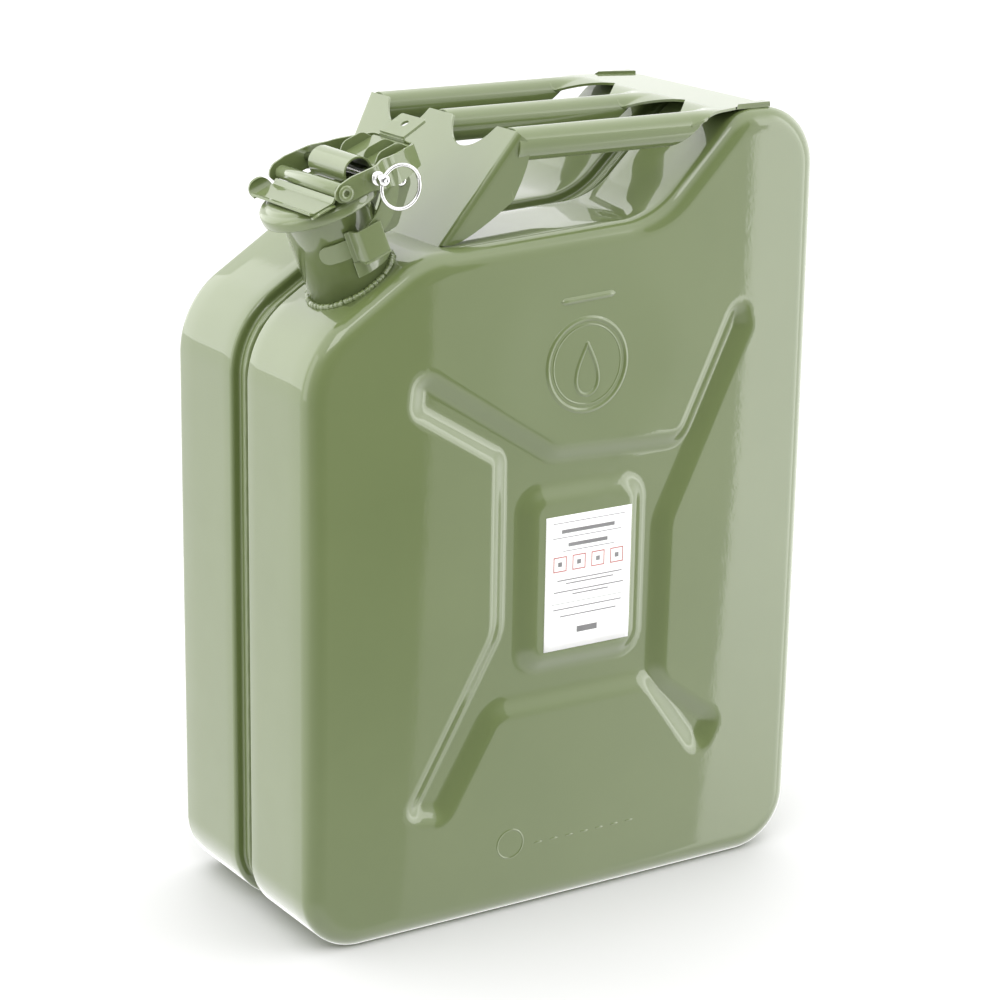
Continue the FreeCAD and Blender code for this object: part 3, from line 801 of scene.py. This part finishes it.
def make_hinge_bracket():
    part = Part(from_neck)
    curved_band(part, NECK_R, 1.3, -42.0, 42.0, 17.3, 35.0, 4.0)
    ear = outline([(22.5, 19.0, 0.0), (31.0, 19.0, 5.0), (49.0, 39.0, 6.0), (44.5, 48.8, 5.8),
                   (35.5, 44.0, 5.0), (29.0, 33.0, 3.0), (22.5, 33.0, 0.0)])
    for low, high in ((-14.8, -13.0), (13.0, 14.8)):
        part.prism(ear, low, high)
    part.make("hinge_ears", "can", PAINT, "hinge_bracket", bevel=0.3)
    pin = Part(from_neck)
    pin.lathe([(0.01, -16.6), (2.4, -16.6), (3.4, -16.1), (3.6, -15.4), (3.5, -14.9), (2.5, -14.8),
               (2.5, 14.8), (3.5, 14.9), (3.6, 15.4), (3.4, 16.1), (2.4, 16.6), (0.01, 16.6)],
              (HINGE_U, HINGE_N), "v", 40)
    pin.make("hinge_rivet", "can", ZINC, "hinge_pin", "zinc", bevel=0)


# ---- lid ----
def make_lid():
    cap = Part(from_neck)
    cap.lathe([(0.01, 55.5), (27.6, 55.5), (29.2, 55.2), (30.2, 54.4), (31.4, 54.0), (33.0, 53.8),
               (34.4, 53.0), (35.0, 51.6), (35.0, 48.2), (34.8, 47.3), (34.3, 47.0), (33.9, 47.3),
               (33.8, 48.2), (33.8, 51.2), (32.8, 52.5), (30.4, 52.8), (28.8, 54.1), (27.0, 54.3),
               (0.01, 54.3)])
    cap.make("lid_dish", "lid", PAINT, "lid_cap", bevel=0)
    seal = Part(from_neck)
    seal.lathe([(20.4, 50.5), (20.0, 51.2), (20.0, 52.2), (20.6, 52.8), (32.2, 52.8), (32.8, 52.2),
                (32.8, 51.0), (32.2, 50.4), (30.5, 50.3), (27.0, 50.3), (25.5, 50.7), (24.0, 50.3)])
    seal.make("lid_seal", "lid", RUBBER, "lid_gasket", "gasket_rubber", bevel=0)


def make_lid_strap():
    """Thumb plate, rolled pivot barrel, flat over the lid and knuckle at the hinge."""
    part = Part(from_neck)
    part.sheet([(-24.0, 57.9, 0.0), (-21.5, 56.6, 1.5), (-9.0, 56.7, 3.0), (-6.4, 59.0, 0.0)],
               1.3, -33.0, 33.0)
    for side, curl, half in ((1, 118.0, 7.0), (-1, 52.0, 7.5)):
        rows, columns, bend = 21, 15, 4.6
        grid = []
        for i in range(rows):
            turn = math.radians(curl * i / (rows - 1))
            slim = math.sqrt(max(1.0 - max(0.0, (i / (rows - 1) - 0.35) / 0.66) ** 2, 0.02))
            for j in range(columns):
                u = -16.2 + half * slim * (-1.0 + 2.0 * j / (columns - 1))
                grid.append((u, side * (32.6 + bend * math.sin(turn)),
                             56.0 + bend * (1.0 - math.cos(turn))))
        skin(part, grid, 1.25 * side, rows, columns)
    barrel = [(2.75, -33.0), (4.1, -33.0), (4.3, -32.7), (4.3, 32.7), (4.1, 33.0), (2.75, 33.0)]
    part.lathe(barrel, (PIVOT_U, PIVOT_N), "v", 48)
    part.sheet([(-5.6, 58.0, 0.0), (-3.0, 56.4, 1.2), (1.0, 56.4, 0.0), (31.0, 56.4, 0.0),
                (38.6, 56.2, 5.0), (46.0, 46.5, 3.0), (45.2, 43.4, 0.0)], 1.6, -12.4, 12.4)
    part.lathe([(2.6, -12.5), (4.7, -12.5), (5.0, -12.2), (5.0, 12.2), (4.7, 12.5), (2.6, 12.5)],
               (HINGE_U, HINGE_N), "v", 40)
    part.make("lid_strap_plate", "lid", PAINT, "lid_strap", bevel=0.3)

    rivet = Part(from_neck)
    half = [(1.6, 30.0), (1.6, 38.7), (1.9, 39.2), (3.6, 39.2), (4.5, 38.8), (4.6, 38.2),
            (4.4, 37.95), (2.6, 37.9)]
    profile = [(r, v) for r, v in half] + [(r, -v) for r, v in reversed(half)]
    rivet.lathe(profile, (PIVOT_U, PIVOT_N), "v", 40)
    rivet.make("pivot_tube", "lid", PAINT, "pivot_rivet", bevel=0)


# ---- locking lever ----
LEVER_TOP = ((-8.4, 60.4), (-7.2, 63.6), (-4.0, 66.0), (4.5, 66.9), (27.0, 65.0), (40.0, 62.6),
             (56.0, 59.4))
LEVER_LOW = ((-8.4, 60.4), (-7.0, 56.9), (-2.0, 55.0), (14.0, 54.0), (22.0, 50.6), (31.0, 47.2),
             (56.0, 46.8))
# each claw is an arc round the pivot, in degrees from u towards n
CLAW_OUTER, CLAW_INNER = 36.6, 26.6
CLAW_SPAN = (-2.0, -75.0)


def holed_tab(part, tail):
    """Tab at the lever's tail with a small round hole: rings of points round the hole."""
    foot, hole_u, half, steps = 53.2, 63.0, 13.0, 64
    tip = tail + 15.9

    def height(u):
        return 61.8 + (u - foot) * 0.15

    rings = []
    for share in (0.0, 0.25, 1.0):
        ring = []
        for k in range(steps):
            angle = 2.0 * math.pi * (k + 0.5) / steps
            c, s = math.cos(angle), math.sin(angle)
            edge = tip - hole_u if c > 0.0 else foot - hole_u
            reach = 2.5 + (min(edge / c, half / abs(s)) - 2.5) * share
            ring.append((hole_u + reach * c, reach * s))
        rings.append(ring)
    order = rings + rings[::-1]
    verts = []
    for index, ring in enumerate(order):
        lift = 0.75 if index < 3 else -0.75
        verts += [(u, v, height(u) + lift) for u, v in ring]
    part.add(verts, grid_faces(len(order), steps, True, True))
    part.sheet([(foot, 57.4, 0.0), (foot, 61.2, 0.0)], 1.5, -half, half)


def make_lever():
    """Strip bent round the closure, with a claw down each side and a tab at the tail."""
    part = Part(from_neck)
    sheet = 1.6
    out, claw_out, tail, tail_half = 37.6, 31.6, 54.0, 22.0
    half = [(-8.4, out, 0.0), (20.5, out, 8.0), (28.0, claw_out, 8.0), (34.0, claw_out, 12.0),
            (tail, tail_half, 4.5)]
    path = half + [(u, -v, r) for u, v, r in reversed(half)]
    dense = []
    points = rounded_path(path, 8)
    for (a0, b0), (a1, b1) in zip(points[:-1], points[1:]):
        pieces = max(1, int(math.hypot(a1 - a0, b1 - b0) / 1.2))
        dense += [(a0 + (a1 - a0) * k / pieces, b0 + (b1 - b0) * k / pieces) for k in range(pieces)]
    dense.append(points[-1])
    rim = thick_path(dense, sheet)
    count = len(dense)
    outer, inner = rim[:count], rim[count:][::-1]
    verts = []
    for i in range(count):
        u = dense[i][0]
        top = float(np.interp(u, [p[0] for p in LEVER_TOP], [p[1] for p in LEVER_TOP]))
        low = float(np.interp(u, [p[0] for p in LEVER_LOW], [p[1] for p in LEVER_LOW]))
        if top - low < 0.6:
            top, low = top + 0.6, low - 0.6
        for (a, b), n in ((outer[i], low), (outer[i], top), (inner[i], top), (inner[i], low)):
            inward = math.copysign(sheet / 2.0, b) if abs(b) > 1e-6 else 0.0
            verts.append((min(a, tail), b - inward, n))
    faces = grid_faces(count, 4, False, True)
    faces.append((3, 2, 1, 0))
    faces.append(tuple((count - 1) * 4 + k for k in range(4)))
    part.add(verts, faces)

    claw = (arc(PIVOT_U, PIVOT_N, CLAW_OUTER, *CLAW_SPAN, 18)
            + arc(PIVOT_U, PIVOT_N, CLAW_INNER, *reversed(CLAW_SPAN), 18))
    for side in (-1, 1):
        part.prism(claw, side * (claw_out - sheet), side * claw_out)
    holed_tab(part, tail)
    part.make("lever_strip", "lever", PAINT, "locking_lever", bevel=0.3)


def make_lock_bridge():
    """Arch over the lock pin, running on as a flat plate with three ribs."""
    part = Part(from_neck)
    arch = arc(LOCK_U, LOCK_N, 8.3, 197.0, 0.0, 24, 8.0)
    arch += [(LOCK_U + 9.2, LOCK_N - 1.8), (31.0, LOCK_N - 1.8), (52.4, LOCK_N - 1.8)]
    part.prism(thick_path(arch, 1.25), -20.0, 20.0)
    for low, high in ((-20.0, -18.8), (-6.0, -4.8), (18.8, 20.0)):
        hump = outline([(27.0, LOCK_N - 2.2, 0.0), (33.0, LOCK_N + 4.0, 6.0),
                        (46.0, LOCK_N + 4.0, 6.0), (51.5, LOCK_N - 2.2, 0.0)])
        part.prism(hump, low, high)
    part.make("lock_arch", "lever", PAINT, "lock_bridge", bevel=0.3)


def make_lock_pin():
    part = Part(from_neck)
    part.lathe([(0.01, -50.0), (1.6, -50.0), (2.9, -49.3), (3.3, -48.2), (3.3, -45.0), (2.9, -44.0),
                (2.5, -43.6), (2.5, -42.2), (3.7, -42.0), (3.9, -41.6), (3.9, -39.8), (3.7, -39.4),
                (2.5, -39.3), (2.5, 39.6), (2.2, 40.6), (1.4, 41.0), (0.01, 41.0)],
              (LOCK_U, LOCK_N), "v", 40)
    part.make("lock_bolt", "pin", ZINC, "lock_pin", "zinc", bevel=0)

    low, high = node_mm("pin_ring")
    centre = (low + high) / 2.0
    ring = Part()
    major, wire = (high[0] - low[0]) / 2.0 - 1.3, 1.3
    path = []
    for k in range(97):
        turn = math.radians(18.0 + 372.0 * k / 96.0)
        lift = (k / 96.0 - 0.5) * 0.9
        path.append((centre[0] + major * math.cos(turn), centre[1] + lift,
                     centre[2] + major * math.sin(turn)))
    ring.sweep(path, wire * 0.82, 14)
    ring.make("pull_ring", "ring", ZINC, "pin_ring", "zinc", bevel=0)


# ---- handle ----
PLATE_FOOT = (-80.0, 404.9)
PLATE_HEAD = (-40.0, 468.5)
FOOT_HALF = 66.0
PLATE_T = 1.5
SCALLOP_R, SCALLOP_UP = 24.0, 8.0


def bar_axes():
    return ((-BAR_PITCH, "left"), (0.0, "middle"), (BAR_PITCH, "right"))


def skin(part, points, thickness, rows, columns):
    """Grid of points (rows x columns x 3) given a thickness, as a closed sheet."""
    grid = np.array(points, float).reshape(rows, columns, 3)
    along = np.gradient(grid, axis=0)
    across = np.gradient(grid, axis=1)
    normal = np.cross(along, across)
    normal /= np.maximum(np.linalg.norm(normal, axis=2, keepdims=True), 1e-9)
    other = grid + normal * thickness
    verts = np.concatenate([grid.reshape(-1, 3), other.reshape(-1, 3)])
    shift = rows * columns
    faces = grid_faces(rows, columns)
    faces += [tuple(i + shift for i in reversed(face)) for face in grid_faces(rows, columns)]
    rim = grid_rim(rows, columns)
    for k, i in enumerate(rim):
        j = rim[(k + 1) % len(rim)]
        faces.append((j, i, i + shift, j + shift))
    part.add([tuple(v) for v in verts], faces)


def make_bars():
    """Rolled bars, open along the bottom, cut off at a slant where the plate takes over."""
    axis_z = BAR_TOP - BAR_R
    cut_start, cut_end = 66.0, 88.0
    for y, side in bar_axes():
        part = Part()
        xs = [*np.linspace(BAR_FRONT, cut_start, 26), *np.linspace(cut_start + 1.5, cut_end, 15)]
        columns = 49
        points = []
        for x in xs:
            share = min(max((x - cut_start) / (cut_end - cut_start), 0.0), 1.0)
            reach = math.radians(178.5 - 118.0 * share ** 0.8)
            for j in range(columns):
                angle = -reach + 2.0 * reach * j / (columns - 1)
                points.append((x, y + BAR_R * math.sin(angle), axis_z + BAR_R * math.cos(angle)))
        skin(part, points, -1.2, len(xs), columns)
        part.make("bar_" + side, "can", PAINT, "handle_bar_" + side, bevel=0.3)


def make_rear_plate():
    """Plate on the hump whose three fingers curl down into the bars."""
    high = node_mm("handle_rear_plate")[1]
    tip, taper_start, root = 78.0, 88.0, 106.0
    finger_half, tail_half = 8.6, 64.0
    part = Part()
    for y, _side in bar_axes():
        xs = [*np.linspace(tip, root, 22), *np.linspace(root + 2.0, high[0], 14)]
        columns = 41
        points = []
        for x in xs:
            open_out = min(max((x - tip) / (root - tip), 0.0), 1.0)
            half = finger_half + (BAR_PITCH / 2.0 - finger_half) * open_out ** 1.25
            flat = float(smoothstep((x - tip) / 26.0))
            outer = BAR_R + (high[1] - BAR_PITCH - BAR_R) * flat
            taper = min(max((x - taper_start) / (high[0] - taper_start), 0.0), 1.0)
            outer_edge = (BAR_PITCH + outer) * (1.0 - taper) + tail_half * taper
            left = half if y > -1.0 else outer_edge - BAR_PITCH
            right = half if y < 1.0 else outer_edge - BAR_PITCH
            for j in range(columns):
                share = -1.0 + 2.0 * j / (columns - 1)
                offset = share * (right if share > 0 else left)
                radius = BAR_R / max(1.0 - flat, 1e-3)
                drop = radius - math.sqrt(max(radius ** 2 - min(abs(offset), BAR_R * 0.94) ** 2, 0.0))
                points.append((x, y + offset, BAR_TOP - drop))
        skin(part, points, -PLATE_T, len(xs), columns)
    part.make("rear_plate", "can", PAINT, "handle_rear_plate", bevel=0.35)


def make_front_plate():
    """Leaning plate with a lobe at each bar, scallops between and sides folded rearward."""
    lean = Vector((PLATE_HEAD[0] - PLATE_FOOT[0], PLATE_HEAD[1] - PLATE_FOOT[1]))
    height = lean.length
    lean.normalize()
    rear = Vector((lean.y, -lean.x))
    head_half = node_mm("handle_front_plate")[1][1]
    bend, flange = 3.0, 19.0
    arc = bend * math.pi / 2.0
    columns_flat = 181
    side_steps = [arc * k / 6.0 for k in range(1, 7)] + [arc + flange * k / 8.0 for k in range(1, 9)]
    params = [-s for s in reversed(side_steps)] + [0.0] * columns_flat + side_steps
    rows = 40
    total = len(side_steps) * 2 + columns_flat
    grid = np.zeros((rows, total, 3))

    def top_edge(y):
        off = abs(abs(y) - BAR_PITCH / 2.0)
        reach = SCALLOP_R - 0.2
        if off > reach:
            return height
        dip = height + SCALLOP_UP - math.sqrt(SCALLOP_R ** 2 - off ** 2)
        blend = max(0.0, 1.0 - abs(dip - height) / 2.5)
        return min(dip, height) - 0.6 * blend ** 2

    for j in range(total):
        beyond = abs(params[j])
        for i in range(rows):
            t = i / (rows - 1)
            if beyond == 0.0:
                share = -1.0 + 2.0 * (j - len(side_steps)) / (columns_flat - 1)
                h = top_edge(share * (head_half - bend)) * t
                half = FOOT_HALF + (head_half - FOOT_HALF) * h / height - bend
                y, back = share * half, 0.0
            else:
                sign = math.copysign(1.0, params[j])
                depth = max(beyond - arc, 0.0)
                share = depth / flange
                low = 3.0 + (0.55 * height - 3.0) * share ** 1.6
                high = height - 1.0 - (0.42 * height - 1.0) * share ** 3.0
                h = low + (high - low) * t
                if beyond <= arc:
                    blend = beyond / arc
                    h = height * t * (1.0 - blend) + h * blend
                half = FOOT_HALF + (head_half - FOOT_HALF) * h / height - bend
                angle = min(beyond, arc) / bend
                y = sign * (half + bend * math.sin(angle))
                back = bend * (1.0 - math.cos(angle)) + depth
            grid[i, j] = (PLATE_FOOT[0] + lean.x * h + rear.x * back, y,
                          PLATE_FOOT[1] + lean.y * h + rear.y * back)
    part = Part()
    skin(part, grid, -PLATE_T, rows, total)
    part.make("front_plate", "can", PAINT, "handle_front_plate", bevel=0.35)


def make_handle_welds():
    rear_edge = node_mm("handle_rear_plate")[1][0]
    for side, name in ((-1, "left"), (1, "right")):
        part = Part()
        for x, z, size in ((PLATE_FOOT[0] + 2.6, 405.3, 1.7), (rear_edge, HUMP_TOP - 0.2, 1.15)):
            path, sizes = [], []
            for k in range(70):
                y = side * (11.0 + 50.0 * k / 69.0)
                wave = math.sin(k * 1.7) * 0.6 + math.sin(k * 0.61 + 1.0) * 0.4
                path.append((x + 0.2 * wave, y, z + 0.15 * wave))
                fade = min(1.0, k / 4.0 + 0.3, (69 - k) / 4.0 + 0.3)
                sizes.append(size * fade * (1.0 + 0.14 * wave))
            part.sweep(path, sizes, 12)
        part.make("handle_weld_" + name, "can", PAINT, "handle_welds_" + name, bevel=0)


# ---- stage ----
def make_floor():
    mesh = bpy.data.meshes.new("studio_floor")
    shape = bmesh.new()
    bmesh.ops.create_grid(shape, x_segments=24, y_segments=24, size=16.0)
    shape.to_mesh(mesh)
    shape.free()
    floor = bpy.data.objects.new("studio_floor", mesh)
    floor.data.materials.append(plain_material(
        "studio_floor", (1.5, 2.0), [(0.2, grey(0.56)), (0.8, grey(0.57))], 0.6))
    scene.collection.objects.link(floor)
    floor.visible_glossy = False


def softbox(name, middle, target, width, height, power):
    """Rectangular light at middle that faces target, in metres."""
    lamp = bpy.data.lights.new(name, "AREA")
    lamp.shape = "RECTANGLE"
    lamp.size, lamp.size_y = width, height
    lamp.energy = power
    box = bpy.data.objects.new(name, lamp)
    box.location = middle
    aim = Vector(target) - Vector(middle)
    box.rotation_euler = aim.to_track_quat("-Z", "Y").to_euler()
    box.visible_camera = False
    scene.collection.objects.link(box)


# studio brightness by compass bearing: degrees from straight in front (-Y) towards +X
AROUND = ((-180.0, 1.5), (-158.0, 1.6), (-140.0, 1.7), (-112.0, 1.9), (-85.0, 1.8),
          (-60.0, 0.9), (-20.0, 0.30), (31.0, 0.28), (38.0, 0.8), (47.0, 0.6), (66.0, 2.8),
          (100.0, 2.8), (122.0, 1.8), (140.0, 1.5), (180.0, 1.5))
# sharp-edged panels: first and last bearing, lowest height of the ray, brightness they add
PANELS = ((30.4, 64.0, -1.0, 1.0), (38.8, 60.0, -1.0, 3.0), (-180.0, -128.0, -0.04, 1.3))
BRIGHTEST = 5.0
GROUND = 1.9
OVERHEAD = 2.2


def make_world():
    """Studio walls as bright and dark panels round the can, with an even light overhead."""
    world = bpy.data.worlds.new("studio")
    scene.world = world
    tree = Tree(world)
    split = tree.nodes.new("ShaderNodeSeparateXYZ")
    tree.link(tree.places["Generated"], split.inputs[0])
    across, along, height = split.outputs
    bearing = tree.calculate("ARCTAN2", across, tree.calculate("MULTIPLY", along, -1.0))
    turn = {"Value": bearing, "From Min": -math.pi, "From Max": math.pi}
    stops = [((angle + 180.0) / 360.0, grey(level / BRIGHTEST)) for angle, level in AROUND]
    walls = tree.ramp(tree.node("MapRange", turn, "Result"), stops)
    for start, stop, lowest, level in PANELS:
        after = tree.calculate("GREATER_THAN", bearing, math.radians(start))
        until = tree.calculate("LESS_THAN", bearing, math.radians(stop))
        above = tree.calculate("GREATER_THAN", height, lowest)
        inside = tree.calculate("MULTIPLY", tree.calculate("MULTIPLY", after, until), above)
        extra = tree.calculate("MULTIPLY", inside, level / BRIGHTEST)
        walls = tree.mix(1.0, walls, extra, "ADD")
    # the walls blend into an even overhead and ground between two heights of the ray
    for start, stop, level in ((0.35, 0.75, OVERHEAD), (-0.25, -0.60, GROUND)):
        rise = {"Value": height, "From Min": start, "From Max": stop}
        share = tree.node("MapRange", rise, "Result", interpolation_type="SMOOTHSTEP")
        walls = tree.mix(share, walls, (*grey(level / BRIGHTEST), 1.0))
    tree.fill(tree.nodes["Background"], {"Color": walls, "Strength": BRIGHTEST})


def make_lights():
    softbox("key_box", (-1.2, -1.6, 2.4), (0.0, 0.0, 0.25), 1.2, 1.2, 16.0)
    softbox("side_box", (-2.6, 0.3, 1.0), (0.0, 0.0, 0.3), 1.4, 2.0, 12.0)


def make_camera():
    """Camera to the left of the filler side, a little above the can."""
    target = Vector((-0.0055, 0.0, 0.2188))
    azimuth, elevation = math.radians(-32.7), math.radians(17.11)
    roll, distance = math.radians(0.887), 1.7602
    away = Vector((math.sin(azimuth) * math.cos(elevation),
                   -math.cos(azimuth) * math.cos(elevation), math.sin(elevation)))
    level = Vector((math.cos(azimuth), math.sin(azimuth), 0.0))
    upright = away.cross(level)
    right = level * math.cos(roll) + upright * math.sin(roll)
    up = upright * math.cos(roll) - level * math.sin(roll)
    lens = bpy.data.cameras.new("view")
    lens.lens, lens.sensor_width = 105.1, 36.0
    lens.shift_x, lens.shift_y = 0.0141, 0.0194
    lens.clip_end = 50.0
    camera = bpy.data.objects.new("view", lens)
    turn = Matrix((right, up, away)).transposed().to_4x4()
    camera.matrix_world = Matrix.Translation(target + away * distance) @ turn
    scene.collection.objects.link(camera)
    scene.camera = camera


for make_pieces in (make_shells, make_seam, make_label, make_neck, make_neck_bracket,
                    make_hinge_bracket, make_lid, make_lid_strap, make_lever, make_lock_bridge,
                    make_lock_pin, make_bars, make_rear_plate, make_front_plate,
                    make_handle_welds):
    make_pieces()
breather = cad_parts["breather_tube"]
breather.data.materials.clear()
breather.data.materials.append(ZINC)
make_floor()
make_world()
make_lights()
make_camera()
scene.view_settings.view_transform = "Standard"
